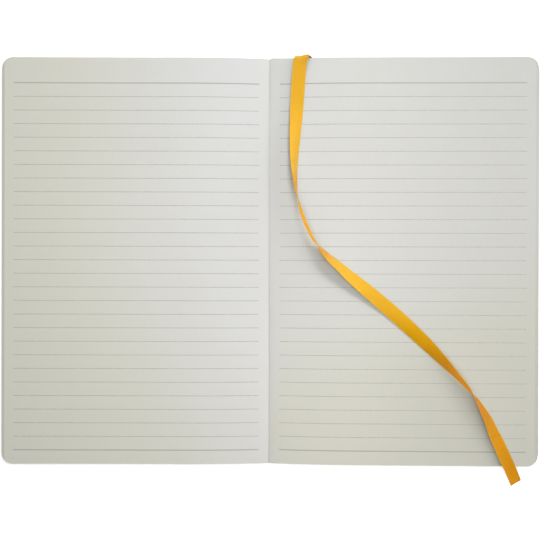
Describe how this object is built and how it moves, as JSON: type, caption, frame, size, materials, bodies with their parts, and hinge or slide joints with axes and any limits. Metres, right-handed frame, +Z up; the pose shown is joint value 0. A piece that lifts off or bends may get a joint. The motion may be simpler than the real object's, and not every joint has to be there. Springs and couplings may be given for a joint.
{
  "type": "softcover notebook",
  "caption": "Softcover notebook lying open at its middle, with curved ruled pages, rounded corners and a twisted satin ribbon bookmark; one half swings over to shut it.",
  "frame": {"origin": "on the surface that the covers rest on, under the middle of the gutter", "axes": "+X towards the right-hand page's fore-edge, +Y towards the head of the book, +Z up from the table through the open pages"},
  "size_m": [0.2796, 0.2191, 0.014],
  "materials": {
    "cover": "soft black leatherette, matt with a fine grain",
    "endpaper": "plain uncoated endpaper",
    "paper": "uncoated off-white writing paper",
    "ink": "pale olive-grey printing ink, matt",
    "ribbon": "golden yellow woven satin with a soft sheen"
  },
  "bodies": {
    "right_half": {"back_cover": "cover", "back_endpaper": "endpaper", "right_pages": "paper", "right_ruling": "ink", "ribbon": "ribbon"},
    "left_half": {"front_cover": "cover", "front_endpaper": "endpaper", "left_pages": "paper", "left_ruling": "ink"}
  },
  "joints": [
    {"name": "gutter_fold", "type": "hinge", "parent": "right_half", "child": "left_half", "pos_m": [0, 0, 0.00675], "axis": [0, 1, 0], "range_deg": [0, 180], "deforming": ["ribbon"]}
  ]
}
